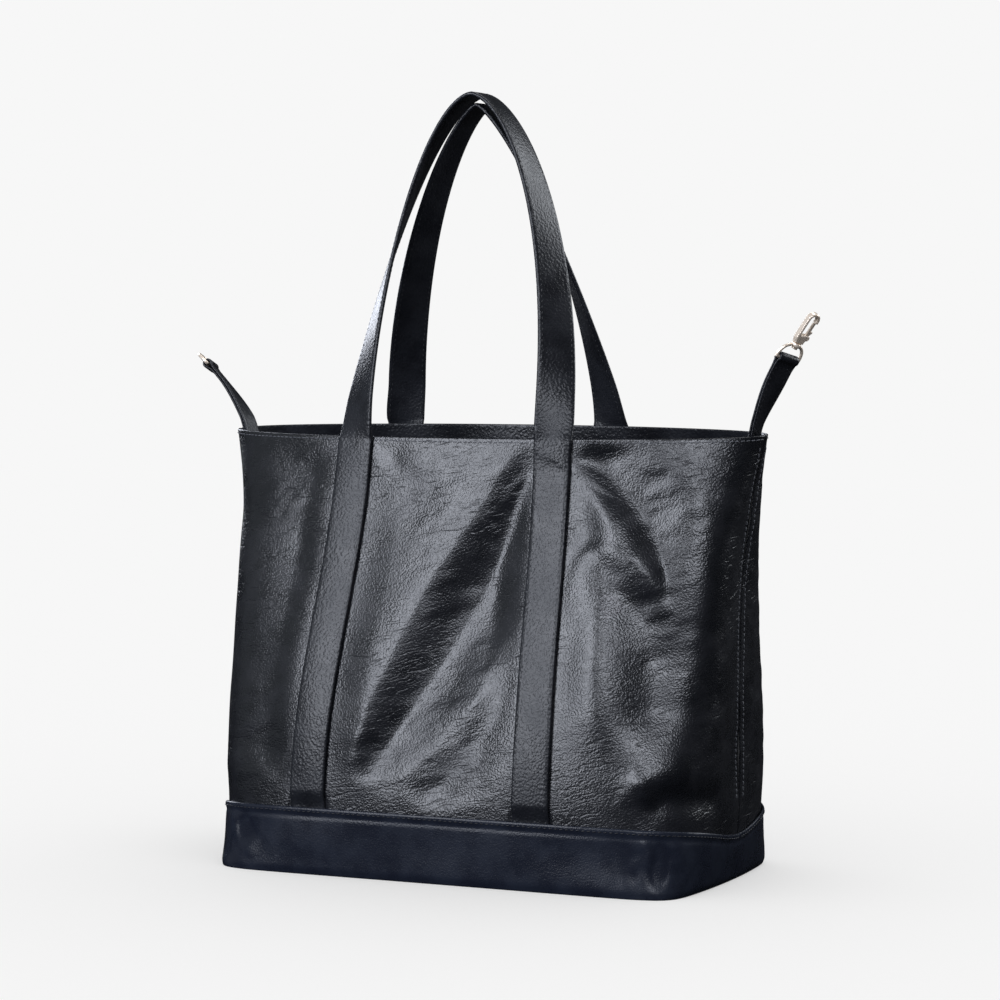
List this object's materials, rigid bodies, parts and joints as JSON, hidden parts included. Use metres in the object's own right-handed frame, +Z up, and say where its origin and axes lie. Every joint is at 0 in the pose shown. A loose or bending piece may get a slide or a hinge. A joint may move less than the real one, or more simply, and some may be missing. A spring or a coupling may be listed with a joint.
{
  "type": "diaper bag",
  "caption": "Large open tote used as a diaper bag, with a deep base band, arched shoulder handles and side tabs that end in a D-ring and a swivel snap hook.",
  "frame": {"origin": "centre of the base, on the surface the bag stands on", "axes": "+Z up, +X to the wearer's right when the front faces away from them, -Y the front with the side tabs at -X and +X"},
  "size_m": [0.5329, 0.2246, 0.6032],
  "materials": {
    "leather": "glossy pebbled black",
    "band_leather": "smoother satin black",
    "lining": "matt black twill",
    "board": "pressed fibre board",
    "gold": "polished pale gold plate",
    "steel": "bright spring steel"
  },
  "bodies": {
    "bag": {"front_panel": "leather", "back_panel": "leather", "front_base_band": "band_leather", "back_base_band": "band_leather", "front_top_facing": "leather", "back_top_facing": "leather", "front_lining": "lining", "back_lining": "lining", "base_panel": "band_leather", "base_board": "board", "base_lining": "lining", "inner_pocket": "lining", "front_handle_left_leg": "leather", "front_handle_right_leg": "leather", "back_handle_left_leg": "leather", "back_handle_right_leg": "leather", "left_tab_anchor": "leather", "right_tab_anchor": "leather"},
    "front_handle": {"front_handle_loop": "leather"},
    "back_handle": {"back_handle_loop": "leather"},
    "left_tab": {"left_tab": "leather"},
    "left_ring": {"left_d_ring": "gold"},
    "right_tab": {"right_tab": "leather"},
    "hook_eye": {"hook_eye": "gold"},
    "hook": {"hook_body": "gold", "hook_gate_pin": "steel", "hook_gate_spring": "steel"},
    "hook_gate": {"hook_gate": "gold"}
  },
  "joints": [
    {"name": "front_handle_fold", "type": "hinge", "parent": "bag", "child": "front_handle", "pos_m": [0, -0.05478, 0.3363], "axis": [1, 0, 0], "range_deg": [0, 168]},
    {"name": "back_handle_fold", "type": "hinge", "parent": "bag", "child": "back_handle", "pos_m": [0, 0.05454, 0.3443], "axis": [-1, 0, 0], "range_deg": [0, 168]},
    {"name": "left_tab_bend", "type": "hinge", "parent": "bag", "child": "left_tab", "pos_m": [-0.2167, 0, 0.343], "axis": [0, 1, 0], "range_deg": [-60, 115]},
    {"name": "left_ring_swing", "type": "hinge", "parent": "left_tab", "child": "left_ring", "pos_m": [-0.25345, 0, 0.39004], "axis": [-0.2068, 0.9511, -0.2296], "range_deg": [-110, 110]},
    {"name": "right_tab_bend", "type": "hinge", "parent": "bag", "child": "right_tab", "pos_m": [0.2167, 0, 0.343], "axis": [0, 1, 0], "range_deg": [-112, 60]},
    {"name": "hook_eye_swing", "type": "hinge", "parent": "right_tab", "child": "hook_eye", "pos_m": [0.24202, 0, 0.39731], "axis": [0.4066, 0.8829, -0.2347], "range_deg": [-100, 100]},
    {"name": "hook_swivel", "type": "hinge", "parent": "hook_eye", "child": "hook", "pos_m": [0.25062, -0.00073, 0.40946], "axis": [0.5772, -0.0491, 0.8151], "continuous": true},
    {"name": "hook_gate_swing", "type": "hinge", "parent": "hook", "child": "hook_gate", "pos_m": [0.25576, 0.00287, 0.41315], "axis": [0.7082, -0.4669, -0.5296], "range_deg": [0, 24], "stiffness_Nm_per_rad": 0.02, "springref_deg": -11.46}
  ]
}
